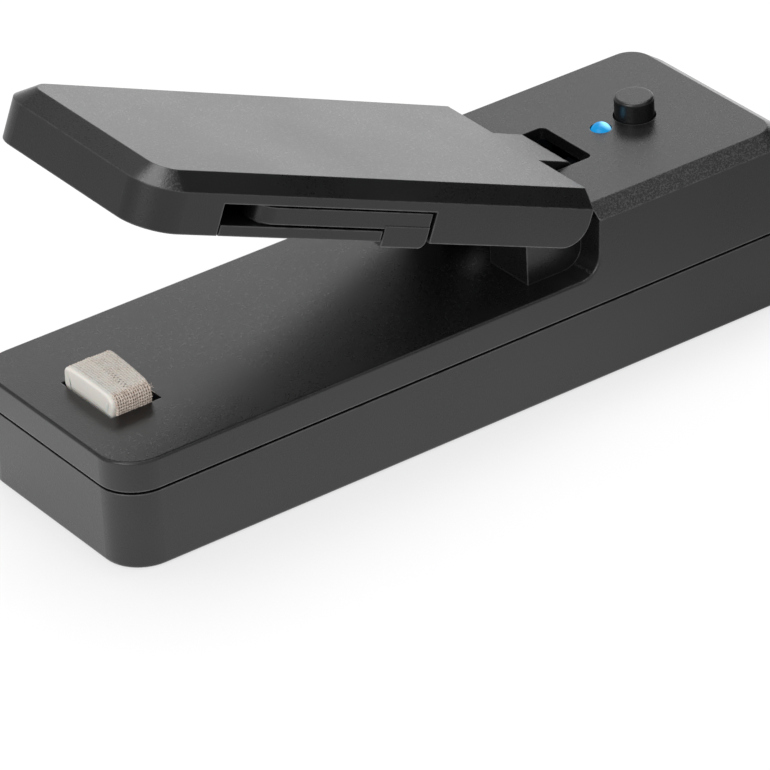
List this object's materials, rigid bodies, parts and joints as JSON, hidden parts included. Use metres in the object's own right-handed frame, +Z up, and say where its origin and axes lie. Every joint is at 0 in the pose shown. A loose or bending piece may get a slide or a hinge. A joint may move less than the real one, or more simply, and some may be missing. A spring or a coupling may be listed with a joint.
{
  "type": "handheld bag sealer",
  "caption": "Small rechargeable heat sealer for food bags: a flat case with a heated pad, a sprung pressing arm with a swing-out film cutter, a push button and an indicator.",
  "frame": {"origin": "middle of the flat underside of the case", "axes": "+X along the case from the heated pad to the button end, +Y across it away from the cutter side, +Z up"},
  "size_m": [0.112, 0.036, 0.0548],
  "materials": {
    "case_plastic": "fine spark-textured moulding",
    "lever_plastic": "satin moulding",
    "button_plastic": "satin moulding",
    "silicone": "soft matt",
    "steel": "plated",
    "blade_steel": "ground",
    "spring_steel": "drawn wire",
    "heater_white": "smooth fired ceramic",
    "nickel_ribbon": "rolled strip",
    "glass_cloth": "coated glass weave",
    "brass_terminal": "stamped",
    "switch_plastic": "moulded",
    "stem_plastic": "moulded",
    "indicator_blue": "clear tinted lens",
    "tin": "tinned",
    "board_green": "solder mask",
    "chip_black": "moulded",
    "cell_foil": "foil pouch",
    "foam": "foam tape",
    "lead_red": "insulation",
    "lead_black": "insulation",
    "lead_white": "heat-proof insulation"
  },
  "bodies": {
    "base": {"lower_case": "case_plastic", "upper_cover": "case_plastic", "hinge_pin": "steel", "return_spring": "spring_steel", "heater_block": "heater_white", "heating_ribbon": "nickel_ribbon", "heater_cloth": "glass_cloth", "heater_terminals": "brass_terminal", "push_switch": "switch_plastic", "button_spring": "spring_steel", "indicator_lens": "indicator_blue", "indicator_legs": "tin", "circuit_board": "board_green", "board_screws": "steel", "trigger_switch": "switch_plastic", "charge_socket": "tin", "board_chips": "chip_black", "battery_cell": "cell_foil", "battery_pad": "foam", "battery_lead_red": "lead_red", "battery_lead_black": "lead_black", "heater_lead_far": "lead_white", "heater_lead_near": "lead_white", "case_screws": "steel"},
    "arm": {"arm_shell": "case_plastic", "arm_base": "case_plastic", "anvil_pad": "silicone", "arm_screws": "steel", "cutter_pin": "steel"},
    "cutter": {"cutter_lever": "lever_plastic", "cutter_blade": "blade_steel"},
    "button": {"power_button": "button_plastic", "switch_stem": "switch_plastic"},
    "trigger": {"trigger_stem": "stem_plastic"}
  },
  "joints": [
    {"name": "arm_press", "type": "hinge", "parent": "base", "child": "arm", "pos_m": [0.02525, 0, 0.0183], "axis": [0, -1, 0], "range_deg": [0, 22.1], "stiffness_Nm_per_rad": 0.4, "springref_deg": -20.05, "deforming": ["return_spring"]},
    {"name": "cutter_swing", "type": "hinge", "parent": "arm", "child": "cutter", "pos_m": [-0.02991, -0.01528, 0.04367], "axis": [-0.3762, 0, -0.9265], "range_deg": [0, 90]},
    {"name": "button_press", "type": "slide", "parent": "base", "child": "button", "axis": [0, 0, -1], "range_m": [0, 0.0015], "stiffness_N_per_m": 300, "springref_m": -0.002, "deforming": ["button_spring"]},
    {"name": "trigger_press", "type": "slide", "parent": "base", "child": "trigger", "axis": [1, 0, 0], "range_m": [0, 0.0006]}
  ],
  "couplings": [
    {"joint": "trigger_press", "follows": "arm_press", "m_per_rad": 0.0015404}
  ]
}
